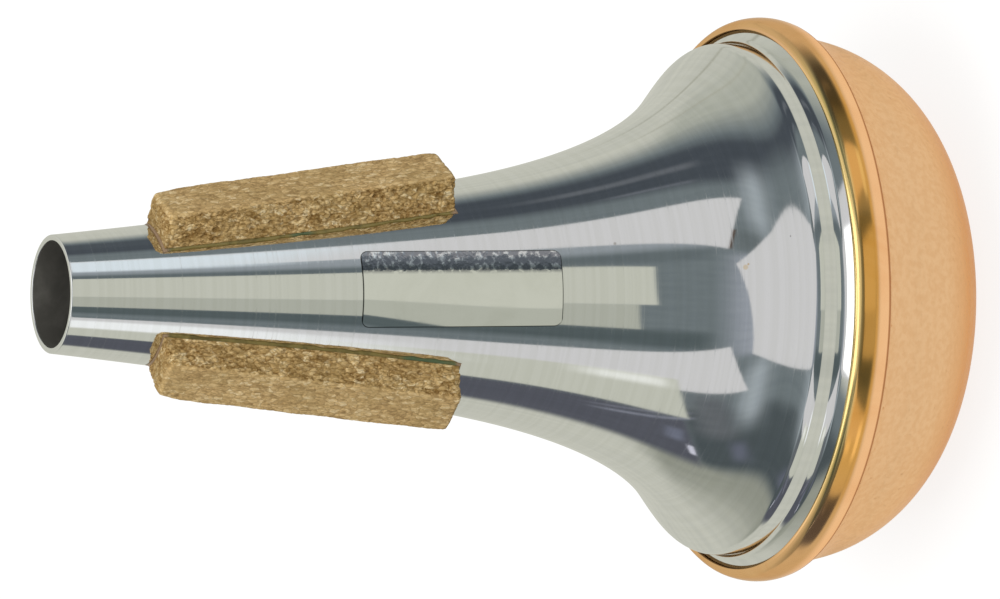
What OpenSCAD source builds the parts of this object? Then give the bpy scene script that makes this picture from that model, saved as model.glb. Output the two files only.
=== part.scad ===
// Straight mute for a trumpet: a spun aluminium body, a spun copper end cap whose hem is
// rolled over the body's rim, and three cork strips that wedge it in the bell.
// It stands on the end cap with +Z up its axis, the origin is the centre of the base, and
// the foil label faces -Y. Lengths are in millimetres and angles in degrees.

/* [Heights from the base up] */
// Depth of the end cap, from its flat base to the crease below the hem
cap_depth = 27.9; // [24:0.1:34]
// Height of the rolled hem, from the crease to its top
hem_h = 6.1; // [5.8:0.1:7]
// Height of the aluminium lip that stands out of the hem
lip_h = 5.9; // [5.4:0.1:7]
// Height of the flare, from the lip to the waist
flare_h = 47.5; // [42:0.1:60]
// Height of the neck, from the waist to its open end
neck_h = 76.2; // [68:0.1:90]

/* [End cap] */
// Outer diameter of the rolled hem, the widest place of the mute
rim_d = 100; // [94:0.5:108]
// Thickness of the spun copper
cap_wall = 0.6; // [0.4:0.1:0.9]
// Radius of the dome between the flat base and the side
dome_r = 26.1; // [20:0.1:30]
// Radius of the hollow sweep from the dome out to the crease
sweep_r = 20; // [14:0.5:30]
// Slope of that sweep at the crease, measured from the axis
sweep_angle = 34; // [26:1:40]
// Width of the small ledge by which the hem stands out at the crease
crease_ledge = 0.3; // [0.1:0.05:0.5]
// Height of the hem's widest place above the crease
belly_h = 2.4; // [2:0.1:2.8]
// Radius of the bulge round the hem's side
belly_r = 6.9; // [6:0.1:8]
// Radius of the roll over the hem's top
roll_r = 1.9; // [1.7:0.1:2.2]

/* [Body shell] */
// Thickness of the spun aluminium
shell_wall = 1; // [0.7:0.1:1.2]
// Outer diameter of the open end of the neck
neck_d = 20.4; // [18:0.2:24]
// Slope of the neck at its open end, measured from the axis
neck_angle = 5.9; // [4:0.1:8]
// Outer diameter at the waist, where the neck runs into the flare
waist_d = 41.6; // [36:0.2:48]
// Slope at the waist, measured from the axis
waist_angle = 10.4; // [8:0.2:13]
// How far down from the waist the flare still follows that slope
waist_pull = 37.5; // [28:0.5:42]
// Slope of the flare where it starts at the lip, measured from the axis
flare_angle = 46; // [40:1:50]
// How far up from the lip the flare still follows that slope
flare_pull = 8.5; // [6:0.1:12]
// Slope of the lip's outer face, measured from the axis
lip_angle = 3; // [0:0.5:8]
// Radius that blends the lip's face into the flare
lip_blend_r = 2.4; // [1.4:0.1:3]
// Distance from the edge of the folded hem in to the lip's face, level with the hem's top
ledge_w = 2.3; // [2.1:0.05:2.6]
// Slope of the ledge between that edge and the lip's face, measured from the axis
ledge_angle = 53; // [46:1:58]
// Radius of the hollow corner between the ledge and the lip's face
cove_r = 2.1; // [1.4:0.1:2.4]
// Clearance between the aluminium and the copper folded round it
crimp_gap = 0.05; // [0.02:0.01:0.1]
// Height above the crease at which the skirt inside the hem ends
skirt_clear = 0.7; // [0.5:0.1:1]
// Depth below the skirt that the ring of sealant fills
sealant_depth = 2; // [1.2:0.1:3]

/* [Cork strips] */
// Width of a strip
cork_w = 10; // [7:0.5:13]
// Length of a strip along the neck
cork_len = 53.2; // [40:0.2:60]
// Distance from the open end of the neck down to a strip
cork_from_lip = 16.4; // [12:0.2:22]
// Thickness of a strip at its wide end, towards the flare
cork_t = 6.3; // [5:0.1:8]
// Thickness of a strip at its sanded end, towards the open end of the neck
cork_t_thin = 5.3; // [4.5:0.1:8]
// Angle round the axis between the two front strips
cork_spread_angle = 117; // [105:1:130]
// Skew of the left strip, as it was glued on by hand
cork_skew_angle = 2.2; // [0:0.2:4]
// Thickness of the glue under a strip
glue_t = 0.25; // [0.15:0.05:0.4]
// Width of glue squeezed out along a strip's edges
glue_squeeze = 0.8; // [0.4:0.1:1.5]

/* [Label] */
// Length of the foil label along the neck
label_len = 34.9; // [26:0.1:42]
// Width of the label
label_w = 13.2; // [8:0.1:16]
// Radius of the label's corners
label_corner_r = 1.4; // [0.5:0.1:3]
// Thickness of the foil and its adhesive
label_t = 0.15; // [0.1:0.05:0.3]
// Distance from the open end of the neck down to the label
label_from_lip = 51; // [42:0.1:58]

/* [Hidden] */
$fn = 96;

// Directions round the axis
FRONT = -90;
LEFT = FRONT - cork_spread_angle / 2;
RIGHT = FRONT + cork_spread_angle / 2;
REAR = FRONT + 180;

// Heights above the base
crease_z = cap_depth;
belly_z = crease_z + belly_h;
hem_z = crease_z + hem_h;
flare_z = hem_z + lip_h;
waist_z = flare_z + flare_h;
mute_h = waist_z + neck_h;

// Number of straight steps along each curve
BEND_STEPS = 6;
DOME_STEPS = 24;
CURVE_STEPS = 28;

// Hem: centres, in [radius, height], of the bulge and of the roll that touches it inside
rim_r = rim_d / 2;
belly_centre = [rim_r - belly_r, belly_z];
roll_z = hem_z - roll_r;
roll_centre = [belly_centre[0] + leg(belly_r - roll_r, roll_z - belly_z), roll_z];
roll_start = atan2(roll_z - belly_z, roll_centre[0] - belly_centre[0]);

// Dome: the sweep's centre lies outside the crease, and the dome's touches sweep and base
crease_r = belly_centre[0] + leg(belly_r, belly_h) - crease_ledge;
sweep_centre = [crease_r + sweep_r * cos(sweep_angle), crease_z - sweep_r * sin(sweep_angle)];
base_r = sweep_centre[0] - leg(dome_r + sweep_r, dome_r - sweep_centre[1]);
dome_centre = [base_r, dome_r];
dome_end = atan2(sweep_centre[1] - dome_r, sweep_centre[0] - base_r);

// Rim of the body: it fills the hem, and its ledge comes out from under the hem's folded edge
fold = cap_wall + crimp_gap;
skirt_z = crease_z + skirt_clear;
ledge_foot = [roll_centre[0], hem_z - fold];
ledge_out = [cos(ledge_angle), sin(ledge_angle)];
face_foot = [roll_centre[0] - ledge_w, hem_z];
face_out = [cos(lip_angle), sin(lip_angle)];

// Hollow corner that touches the ledge and the lip's face, and blend of the face into the flare
cove_centre = meeting(ledge_out, ledge_foot * ledge_out + cove_r, face_out, face_foot * face_out + cove_r);
blend_z = flare_z - lip_blend_r * sin(flare_angle);
blend_centre = meeting([0, 1], blend_z, face_out, face_foot * face_out - lip_blend_r);
flare_foot = blend_centre + lip_blend_r * [cos(flare_angle), sin(flare_angle)];

// Third side of a right triangle, from its longest side and one other
function leg(long, side) = sqrt(long * long - side * side);

// Point where two lines meet, each given by its square direction and its distance from the origin
function meeting(out_a, a, out_b, b) =
    [a * out_b[1] - b * out_a[1], b * out_a[0] - a * out_b[0]]
    / (out_a[0] * out_b[1] - out_a[1] * out_b[0]);

// Points on a circle in [radius, height], from one direction to another
function arc(centre, r, from, to, steps = BEND_STEPS) =
    [for (i = [0:steps]) let (a = from + (to - from) * i / steps) centre + r * [cos(a), sin(a)]];

// Cubic curve through four control points, and its direction, at t from 0 to 1
function curve_at(p, t) =
    pow(1 - t, 3) * p[0] + 3 * t * pow(1 - t, 2) * p[1] + 3 * t * t * (1 - t) * p[2] + pow(t, 3) * p[3];
function curve_way(p, t) =
    pow(1 - t, 2) * (p[1] - p[0]) + 2 * t * (1 - t) * (p[2] - p[1]) + t * t * (p[3] - p[2]);

// Control points of a curve that rises from one place to another and leans in towards the axis
// by the slope given at each end, which it follows for the length given
function leaning(low, low_slope, low_pull, high, high_slope, high_pull) =
    [low,
     low + low_pull * [-sin(low_slope), cos(low_slope)],
     high - high_pull * [-sin(high_slope), cos(high_slope)],
     high];

// Points beside that curve, pushed out square to it by the distance given
function beside(p, out) =
    [for (i = [0:CURVE_STEPS])
        let (t = i / CURVE_STEPS, way = curve_way(p, t))
        curve_at(p, t) + out * [way[1], -way[0]] / norm(way)];

waist = [waist_d / 2, waist_z];
flare = leaning(flare_foot, flare_angle, flare_pull, waist, waist_angle, waist_pull);
neck = leaning(waist, waist_angle, neck_h / 3, [neck_d / 2, mute_h], neck_angle, neck_h / 3);

// Outside of the flare and neck, or a surface that far out from it, ending level at the top
function flank(out) =
    let (low = beside(flare, out), high = beside(neck, out), end = high[CURVE_STEPS])
    concat(
        low,
        [for (i = [1:CURVE_STEPS - 1]) high[i]],
        [[end[0] + (end[1] - mute_h) * tan(neck_angle), mute_h]]);

// Radius of the outside of the flare or neck at a height
function flank_r(z) = lookup(z, [for (p = flank(0)) [p[1], p[0]]]);

// Points of a list from its last to its first
function reversed(points) = [for (i = [len(points) - 1:-1:0]) points[i]];

// Radius of the side of the hem, inset from its outside, at a height
function hem_side_r(inset, z) = belly_centre[0] + leg(belly_r - inset, z - belly_z);

// Direction, from the bulge's centre, of a level cut through the side of the hem
function hem_side_angle(inset, z) = asin((z - belly_z) / (belly_r - inset));

// Section line of the end cap, inset from its outside
function cap_line(inset) = concat(
    [[0, inset]],
    arc(dome_centre, dome_r - inset, -90, dome_end, DOME_STEPS),
    arc(sweep_centre, sweep_r + inset, 180 + dome_end, 180 - sweep_angle),
    arc(belly_centre, belly_r - inset, -asin(belly_h / belly_r), roll_start),
    arc(roll_centre, roll_r - inset, roll_start, 90));

// Section of the body's rim on its outside, from the skirt's end up to the flare
function rim_outside() = concat(
    arc(belly_centre, belly_r - fold, hem_side_angle(fold, skirt_z), roll_start),
    arc(roll_centre, roll_r - fold, roll_start, 90),
    arc(cove_centre, cove_r, 180 + ledge_angle, 180 + lip_angle),
    arc(blend_centre, lip_blend_r, lip_angle, flare_angle));

// The same on its inside, where the skirt runs up to the underside of the ledge
function rim_inside() =
    let (
        inset = fold + shell_wall,
        under_z = ledge_foot[1] - shell_wall)
    concat(
        arc(belly_centre, belly_r - inset, hem_side_angle(inset, skirt_z), hem_side_angle(inset, under_z)),
        [meeting([0, 1], under_z, ledge_out, ledge_foot * ledge_out - shell_wall)],
        arc(cove_centre, cove_r + shell_wall, 180 + ledge_angle, 180 + lip_angle),
        arc(blend_centre, lip_blend_r - shell_wall, lip_angle, flare_angle));

// Solid ring between two surfaces of the flank
module flank_ring(inner, outer) {
    rotate_extrude() polygon(concat(flank(inner), reversed(flank(outer))));
}

// Everything inside a surface of the flank
module flank_core(out) {
    rotate_extrude() polygon(concat([[0, flare_z]], flank(out), [[0, mute_h]]));
}

module body_shell() {
    color([0.80, 0.81, 0.82])
        rotate_extrude()
            polygon(concat(
                rim_outside(),
                flank(0),
                reversed(flank(-shell_wall)),
                reversed(rim_inside())));
}

module end_cap() {
    color([0.86, 0.66, 0.47])
        rotate_extrude() polygon(concat(cap_line(0), reversed(cap_line(cap_wall))));
}

// Ring of sealant in the corner below the skirt: it stops the rim from buzzing
module rim_sealant() {
    low_z = skirt_z - sealant_depth;
    mid_wall = cap_wall / 2;
    low_wall_r = sweep_centre[0] - leg(sweep_r + mid_wall, low_z - sweep_centre[1]);
    color([0.45, 0.44, 0.40])
        difference() {
            rotate_extrude()
                polygon([
                    [low_wall_r, low_z],
                    [hem_side_r(mid_wall, skirt_z), skirt_z],
                    [hem_side_r(fold + shell_wall, skirt_z), skirt_z]]);
            end_cap();
        }
}

// Heights of a strip's ends on its underside
cork_high = mute_h - cork_from_lip;
cork_low = cork_high - cork_len;

// Block round the axis at a direction, as long as a strip plus a margin at both ends, cut square
// to the neck's side there, and reaching from inside the neck out to a line over the strip.
// A positive skew turns its upper end towards smaller directions.
module strip_block(direction, skew, width, margin, thick_low, thick_high) {
    low = [flank_r(cork_low) + glue_t, cork_low];
    high = [flank_r(cork_high) + glue_t, cork_high];
    along = (high - low) / norm(high - low);
    out = [along[1], -along[0]];
    reach_in = shell_wall + glue_t;
    middle_z = (cork_low + cork_high) / 2;
    rotate([0, 0, direction])
        translate([0, 0, middle_z])
            rotate([90 + skew, 0, 0])
                translate([0, -middle_z, 0])
                    linear_extrude(width, center = true)
                        polygon([
                            low - margin * along - reach_in * out,
                            low - margin * along + thick_low * out,
                            high + margin * along + thick_high * out,
                            high + margin * along - reach_in * out]);
}

module cork_strip(direction, skew = 0) {
    color([0.74, 0.57, 0.36])
        difference() {
            strip_block(direction, skew, cork_w, 0, cork_t, cork_t_thin);
            flank_core(glue_t);
        }
}

module glue_film(direction, skew = 0) {
    color([0.45, 0.50, 0.22])
        intersection() {
            flank_ring(0, glue_t);
            strip_block(direction, skew, cork_w + 2 * glue_squeeze, glue_squeeze, cork_t, cork_t);
        }
}

// Foil label, wrapped round the front of the neck
module label() {
    high = mute_h - label_from_lip - label_corner_r;
    low = mute_h - label_from_lip - label_len + label_corner_r;
    side = label_w / 2 - label_corner_r;
    color([0.83, 0.84, 0.83])
        intersection() {
            flank_ring(0, label_t);
            rotate([90, 0, 0])
                linear_extrude(rim_r)
                    polygon(concat(
                        arc([side, high], label_corner_r, 0, 90),
                        arc([-side, high], label_corner_r, 90, 180),
                        arc([-side, low], label_corner_r, 180, 270),
                        arc([side, low], label_corner_r, 270, 360)));
        }
}

body_shell();
end_cap();
rim_sealant();
cork_strip(LEFT, cork_skew_angle);  // cork_left
cork_strip(RIGHT);  // cork_right
cork_strip(REAR);  // cork_rear
glue_film(LEFT, cork_skew_angle);  // glue_left
glue_film(RIGHT);  // glue_right
glue_film(REAR);  // glue_rear
label();
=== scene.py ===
# %% [markdown]
# A straight mute for a trumpet, dressed and lit for its portrait. The frame holds the mute's solids
# in metres: the axis is +Z, the flat base stands on z = 0, and the foil label faces -Y. Polished
# metal shows every facet of a plain solid, and cork is all granules, so this lesson builds each
# piece that shows again, in the place of its solid, and gives it the finish of the real one.

# %% Load the frame
import itertools

import bpy
import numpy as np
from mathutils import Matrix


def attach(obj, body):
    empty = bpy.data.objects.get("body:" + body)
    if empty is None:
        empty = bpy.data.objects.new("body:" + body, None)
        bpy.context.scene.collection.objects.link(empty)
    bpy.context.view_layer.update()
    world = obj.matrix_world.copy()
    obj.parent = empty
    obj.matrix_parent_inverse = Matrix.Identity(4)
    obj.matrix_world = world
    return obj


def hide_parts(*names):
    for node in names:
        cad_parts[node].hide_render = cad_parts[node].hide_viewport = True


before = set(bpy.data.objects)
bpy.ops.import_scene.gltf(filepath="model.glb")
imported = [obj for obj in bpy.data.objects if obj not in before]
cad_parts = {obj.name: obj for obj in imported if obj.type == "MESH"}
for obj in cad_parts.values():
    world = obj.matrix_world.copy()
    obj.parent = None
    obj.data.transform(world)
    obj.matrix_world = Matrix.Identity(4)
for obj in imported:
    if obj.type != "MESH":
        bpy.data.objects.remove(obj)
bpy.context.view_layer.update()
scene = bpy.context.scene
scene.view_settings.view_transform = "Standard"
print("solids:", ", ".join(sorted(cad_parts)))

# %% [markdown]
# The camera is a long lens from about a metre and a half, which keeps the rim's ellipse slim. It
# looks down on the standing mute by 23.6 degrees and is rolled on its side, so that the neck points
# left in the picture. Its place and its three directions came from fitting the ellipses of the rim
# and of the mouth, and a matrix whose columns are right, up and back says all of that at once.

# %% Camera
CAMERA_PLACE = (-0.1093, -1.3844, 0.6864)
CAMERA_RIGHT = np.array([-0.02410, -0.39968, -0.91633])
CAMERA_UP = np.array([0.99712, -0.07553, 0.00672])
LENS_MM, SENSOR_MM = 311.6, 36

camera_data = bpy.data.cameras.new("long_lens")
camera_data.lens = LENS_MM
camera_data.sensor_width = SENSOR_MM
camera_data.clip_start = 0.1
camera = bpy.data.objects.new("camera", camera_data)
scene.collection.objects.link(camera)
camera_axes = np.stack([CAMERA_RIGHT, CAMERA_UP, np.cross(CAMERA_RIGHT, CAMERA_UP)], axis=1)
camera.matrix_world = Matrix.Translation(CAMERA_PLACE) @ Matrix(camera_axes.tolist()).to_4x4()
scene.camera = camera
print("camera", round(float(np.linalg.norm(CAMERA_PLACE)), 3), "m from the base")

# %% [markdown]
# Both shells are spun: a disc of metal is pressed over a turning former, so each is a flat line, its
# section, carried round the axis. The section is drawn here in millimetres as [radius, height], with
# arcs and cubic curves that run into each other without a kink, because a polished surface shows a
# kink as a break in its reflections. A screw modifier could turn the line too, but a grid worked out
# with numpy also knows how far along the section each point lies, which the spinning lines need.

# %% Arcs and curves of a section
MM = 0.001


def arc(centre, radius, start, end, steps=12):
    """centre + radius * (cos a, sin a), for a from start to end in degrees."""
    a = np.radians(np.linspace(start, end, steps + 1))
    return np.array(centre) + radius * np.stack([np.cos(a), np.sin(a)], axis=1)


def cubic(low, low_slope, low_pull, high, high_slope, high_pull, steps):
    """A cubic curve that leaves low and reaches high leaning in by these slopes, in degrees from the
    axis: its four control points are mixed by the four terms of ((1 - t) + t) cubed."""
    def lean(slope):
        return np.array([-np.sin(np.radians(slope)), np.cos(np.radians(slope))])

    t = np.linspace(0, 1, steps + 1)[:, None]
    a, d = np.array(low), np.array(high)
    b, c = a + low_pull * lean(low_slope), d - high_pull * lean(high_slope)
    return (1 - t) ** 3 * a + 3 * t * (1 - t) ** 2 * b + 3 * t ** 2 * (1 - t) * c + t ** 3 * d


def inset(line, depth):
    """Each point moves by depth to the left of the way along the line, square to it."""
    way = np.gradient(line, axis=0)
    way /= np.linalg.norm(way, axis=1, keepdims=True)
    return line + depth * np.stack([-way[:, 1], way[:, 0]], axis=1)


def soften(line, corners, reach, steps=4):
    """Replaces each corner by a parabola that starts reach before it and ends reach after it."""
    pieces, done = [], 0
    for i in corners:
        before = line[i - 1] - line[i]
        after = line[i + 1] - line[i]
        start = line[i] + before * min(0.45, reach / np.linalg.norm(before))
        end = line[i] + after * min(0.45, reach / np.linalg.norm(after))
        t = np.linspace(0, 1, steps + 1)[:, None]
        pieces += [line[done:i], (1 - t) ** 2 * start + 2 * t * (1 - t) * line[i] + t ** 2 * end]
        done = i + 1
    return np.concatenate(pieces + [line[done:]])


# %% Sizes of the hem, which the two shells share
COPPER, WALL, CRIMP_GAP = 0.6, 1.0, 0.05
FOLD = COPPER + CRIMP_GAP
RIM_R, HEM_Z, CREASE_Z = 50.0, 34.0, 27.9
BELLY_R, BELLY_H, ROLL_R = 6.9, 2.4, 1.9
BELLY = np.array([RIM_R - BELLY_R, CREASE_Z + BELLY_H])
roll_z = HEM_Z - ROLL_R
ROLL = np.array([BELLY[0] + np.sqrt((BELLY_R - ROLL_R) ** 2 - (roll_z - BELLY[1]) ** 2), roll_z])
ROLL_START = np.degrees(np.arctan2(ROLL[1] - BELLY[1], ROLL[0] - BELLY[0]))


def belly_angle(radius, z):
    """Direction from the bulge's centre to where a circle of this radius round it has this height."""
    return np.degrees(np.arcsin((z - BELLY[1]) / radius))


def facing(slope):
    """The way that a line faces which leans in by this slope, in degrees from the axis."""
    return np.array([np.cos(np.radians(slope)), np.sin(np.radians(slope))])


print("roll of the hem round", ROLL.round(3), "from", ROLL_START.round(1), "degrees")

# %% Lip of the body: ledge, hollow corner, face and blend
LEDGE_SLOPE, LIP_SLOPE, FLARE_SLOPE = 53.0, 3.0, 46.0
LEDGE_W, COVE_R, BLEND_R, FLARE_Z = 2.3, 2.1, 2.4, 39.9
ledge_foot = np.array([ROLL[0], HEM_Z - FOLD])
face_foot = np.array([ROLL[0] - LEDGE_W, HEM_Z])
ledge_out, face_out = facing(LEDGE_SLOPE), facing(LIP_SLOPE)
cove_centre = np.linalg.solve([ledge_out, face_out],
                              [ledge_foot @ ledge_out + COVE_R, face_foot @ face_out + COVE_R])
blend_z = FLARE_Z - BLEND_R * facing(FLARE_SLOPE)[1]
blend_r = (face_foot @ face_out - BLEND_R - blend_z * face_out[1]) / face_out[0]
cove = arc(cove_centre, COVE_R, 180 + LEDGE_SLOPE, 180 + LIP_SLOPE, 16)
blend = arc((blend_r, blend_z), BLEND_R, LIP_SLOPE, FLARE_SLOPE, 16)
print("cove from", cove[0].round(2), "to", cove[-1].round(2), "flare starts at", blend[-1].round(2))

# %% Section of the body, outside and inside
WAIST, WAIST_SLOPE = (20.8, 87.4), 10.4
MOUTH, MOUTH_SLOPE = (10.2, 163.6), 5.9
FLARE_PULL, WAIST_PULL, NECK_PULL = 8.5, 37.5, 25.4
SKIRT_Z = CREASE_Z + 0.7

flare = cubic(blend[-1], FLARE_SLOPE, FLARE_PULL, WAIST, WAIST_SLOPE, WAIST_PULL, 110)
neck = cubic(WAIST, WAIST_SLOPE, NECK_PULL, MOUTH, MOUTH_SLOPE, NECK_PULL, 60)
flank = np.concatenate([blend, flare[1:], neck[1:]])
skirt = np.concatenate([
    arc(BELLY, BELLY_R - FOLD, belly_angle(BELLY_R - FOLD, SKIRT_Z), ROLL_START, 8),
    arc(ROLL, ROLL_R - FOLD, ROLL_START, 90, 8)[1:]])
outside = np.concatenate([skirt, cove, flank])

inner_r = BELLY_R - FOLD - WALL
under_z = ledge_foot[1] - WALL
under_r = (ledge_foot @ ledge_out - WALL - under_z * ledge_out[1]) / ledge_out[0]
inner_skirt = np.concatenate([
    arc(BELLY, inner_r, belly_angle(inner_r, SKIRT_Z), belly_angle(inner_r, under_z), 8),
    [[under_r, under_z]],
    arc(cove_centre, COVE_R + WALL, 180 + LEDGE_SLOPE, 180 + LIP_SLOPE, 8)])
inside = inset(flank[::3], WALL)
inside[-1] = [MOUTH[0] - WALL, MOUTH[1]]
body_section = np.concatenate([outside, inside[::-1], inner_skirt[::-1]])
mouth_out, mouth_in = len(outside) - 1, len(outside)
body_section = soften(body_section, [mouth_out, mouth_in], reach=0.22)
print("body section:", len(body_section), "points")

# %% Section of the end cap
DOME_R, SWEEP_R, SWEEP_SLOPE, CREASE_LEDGE = 26.1, 20.0, 34.0, 0.3
belly_low = belly_angle(BELLY_R, CREASE_Z)
crease_r = BELLY[0] + BELLY_R * facing(belly_low)[0] - CREASE_LEDGE
SWEEP = np.array([crease_r, CREASE_Z]) + SWEEP_R * facing(-SWEEP_SLOPE)
DOME = np.array([SWEEP[0] - np.sqrt((DOME_R + SWEEP_R) ** 2 - (DOME_R - SWEEP[1]) ** 2), DOME_R])
dome_end = np.degrees(np.arctan2(SWEEP[1] - DOME[1], SWEEP[0] - DOME[0]))


def cap_line(depth):
    """Base, dome, hollow sweep, bulge and roll of the copper, all inset by depth from the outside."""
    return np.concatenate([
        np.stack([np.linspace(0, DOME[0], 9), np.full(9, depth)], axis=1)[:-1],
        arc(DOME, DOME_R - depth, -90, dome_end, 60),
        arc(SWEEP, SWEEP_R + depth, 180 + dome_end, 180 - SWEEP_SLOPE, 30)[1:],
        arc(BELLY, BELLY_R - depth, belly_low, ROLL_START, 20),
        arc(ROLL, ROLL_R - depth, ROLL_START, 90, 20)[1:]])


cap_outside = cap_line(0)
cap_section = np.concatenate([cap_outside, cap_line(COPPER)[::-1]])
cap_section = soften(cap_section, [len(cap_outside) - 1, len(cap_outside)], reach=0.2)
print("cap section:", len(cap_section), "points, dome ends at", round(float(dome_end), 1), "degrees")

# %% [markdown]
# A mesh takes its corners from one array and its faces from another. The lathe makes both as whole
# arrays. Where the section ends on the axis, the ring there shrinks to one pole, closed with a fan.
# Each vertex also gets the section's own normal. Blender would mix the normals of the faces around,
# and beside a small rounding that tilts a wide face, which a mirror finish doesn't forgive.

# %% Mesh helpers
def new_piece(name, corners, faces, slot, node, normals=None, **marks):
    """Makes the mesh from its corners in millimetres and its faces, checks which way it faces, and
    lets it stand for its CAD node. Marks are numbers for each corner that materials can read."""
    mesh = bpy.data.meshes.new(name)
    mesh.from_pydata((corners * MM).tolist(), [], faces)
    mesh.polygons.foreach_set("use_smooth", np.ones(len(mesh.polygons), dtype=bool))
    for mark, values in marks.items():
        layer = mesh.attributes.new(mark, "FLOAT", "POINT")
        layer.data.foreach_set("value", values.astype(np.float32))
    mesh.update()
    if normals is not None:
        mesh.normals_split_custom_set_from_vertices(normals.tolist())
    piece = bpy.data.objects.new(name, mesh)
    scene.collection.objects.link(piece)
    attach(piece, "root")
    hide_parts(node)
    volume = volume_of(mesh)
    triangles = len(mesh.loops) - 2 * len(mesh.polygons)
    print(f"{name}: {triangles} triangles, {volume / MM ** 3:.0f} cubic mm")
    assert volume > 0, name + " is inside out"
    return piece


def volume_of(mesh):
    """Sum over all triangles of the volume between each and the origin."""
    mesh.calc_loop_triangles()
    at = np.empty(len(mesh.vertices) * 3)
    mesh.vertices.foreach_get("co", at)
    tri = np.empty(len(mesh.loop_triangles) * 3, dtype=np.int32)
    mesh.loop_triangles.foreach_get("vertices", tri)
    a, b, c = at.reshape(-1, 3)[tri.reshape(-1, 3)].transpose(1, 0, 2)
    return float(np.einsum("ij,ij->i", a, np.cross(b, c)).sum() / 6)


# %% Lathe
def lathe(name, section, slot, node, steps=256, **marks):
    """Point (r, z) of the section at angle a goes to (r cos a, r sin a, z). A section that starts and
    ends on the axis keeps one corner of each of those rings as a pole, where a quad has the same
    corner twice and so becomes a triangle. Any other section is a closed loop."""
    poles = section[0, 0] < 1e-9
    count = len(section)
    edge = np.roll(section, -1, axis=0) - section
    kept = np.ones((count, steps), dtype=bool)
    if poles:
        edge[-1] = 0
        kept[[0, -1], 1:] = False
    side = np.stack([edge[:, 1], -edge[:, 0]], axis=1)
    normal = side + np.roll(side, 1, axis=0)
    normal /= np.linalg.norm(normal, axis=1, keepdims=True)
    a = np.linspace(0, 2 * np.pi, steps, endpoint=False)

    def turned(line):
        r, z = line[:, None, 0], line[:, None, 1]
        return np.stack([r * np.cos(a), r * np.sin(a), z + 0 * a], axis=-1)

    along = np.concatenate([[0], np.cumsum(np.linalg.norm(edge[:-1], axis=1))])
    marks = {k: np.repeat(v, steps)[kept.ravel()] for k, v in {"along": along, **marks}.items()}
    index = np.cumsum(kept).reshape(count, steps) - 1
    below, above = (index[:-1], index[1:]) if poles else (index, np.roll(index, -1, axis=0))
    quads = np.stack([below, np.roll(below, -1, 1), np.roll(above, -1, 1), above], -1).reshape(-1, 4)
    faces = [list(dict.fromkeys(quad)) for quad in quads.tolist()]
    return new_piece(name, turned(section)[kept], faces, slot, node, turned(normal)[kept], **marks)


# %% Spin the two shells
EDGE_POINTS = 8  # what the softening of a sheet's two corners adds


def past(section, last):
    """1 for the points of a section that come after the softened edge at this place, else 0."""
    return (np.arange(len(section)) > last + EDGE_POINTS).astype(float)


body_shell = lathe("spun_body", body_section, "spun_aluminium", "body_shell",
                   inner=past(body_section, mouth_out))
end_cap = lathe("spun_end_cap", cap_section, "spun_copper", "end_cap",
                inner=past(cap_section, len(cap_outside)))

# %% [markdown]
# The three strips are cut from agglomerated cork: granules about a millimetre across, pressed with a
# binder and sawn. They are glued on along the neck, so each is worked out in its own three
# directions, along the neck's side, across it, and up from it, and then carried to its place. The
# left one was put on slightly askew. The granules are in the mesh as knobs and torn pits, so that
# the edges are ragged too. A displace modifier could do that, but numpy keeps what sits where in one
# formula, and the same numbers mark the sanded face for the material.

# %% Steady random numbers
def lattice(cell, seed):
    """A fixed random number from 0 to 1 for each cell, from whole-number sums of its three indices."""
    n = cell[:, 0] * 374761393 + cell[:, 1] * 668265263 + cell[:, 2] * 1103515245 + seed * 97531
    n = n & 0xFFFFFFFF
    n = ((n ^ (n >> 13)) * 1274126177) & 0xFFFFFFFF
    return ((n ^ (n >> 16)) & 0xFFFF) / 65535


def soft_noise(points, seed):
    """Every corner of a grid of unit cells has a random number, and a point mixes those of its cell's
    eight corners by how near they are, with shares eased by 3 t^2 - 2 t^3."""
    cell = np.floor(points).astype(np.int64)
    t = points - cell
    t = t * t * (3 - 2 * t)
    total = np.zeros(len(points))
    for corner in itertools.product((0, 1), repeat=3):
        total += np.prod(np.where(corner, t, 1 - t), axis=1) * lattice(cell + corner, seed)
    return total


def grains(points, seed):
    """One grain's centre lies in each unit cell, at a random place. Gives the distance to the nearest
    centre, the gap to the second nearest, and the nearest grain's own random number."""
    cell = np.floor(points).astype(np.int64)
    near, second = np.full(len(points), 9.0), np.full(len(points), 9.0)
    own = np.zeros(len(points))
    for step in itertools.product((-1, 0, 1), repeat=3):
        there = cell + step
        centre = there + np.stack([lattice(there, seed + k) for k in (1, 2, 3)], axis=1)
        away = np.linalg.norm(points - centre, axis=1)
        closer = away < near
        second = np.where(closer, near, np.minimum(second, away))
        own = np.where(closer, lattice(there, seed + 4), own)
        near = np.where(closer, away, near)
    return near, second - near, own


# %% Place of a strip on the neck
CORK_LEN, CORK_W = 53.2, 10.0
CORK_T, CORK_T_THIN = 6.3, 5.3
GLUE = 0.25
CORK_LOW, CORK_HIGH = 94.0, 147.2
FRONT, SPREAD = -90.0, 117.0
STRIPS = {"left": (FRONT - SPREAD / 2, 2.2), "right": (FRONT + SPREAD / 2, 0.0),
          "rear": (FRONT + 180, 0.0)}


def flank_r(z):
    """Radius of the outside of the neck or flare at a height."""
    return np.interp(z, flank[:, 1], flank[:, 0])


strip_low = np.array([flank_r(CORK_LOW) + GLUE, CORK_LOW])
strip_high = np.array([flank_r(CORK_HIGH) + GLUE, CORK_HIGH])
strip_way = (strip_high - strip_low) / np.linalg.norm(strip_high - strip_low)
strip_out = np.array([strip_way[1], -strip_way[0]])


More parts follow.
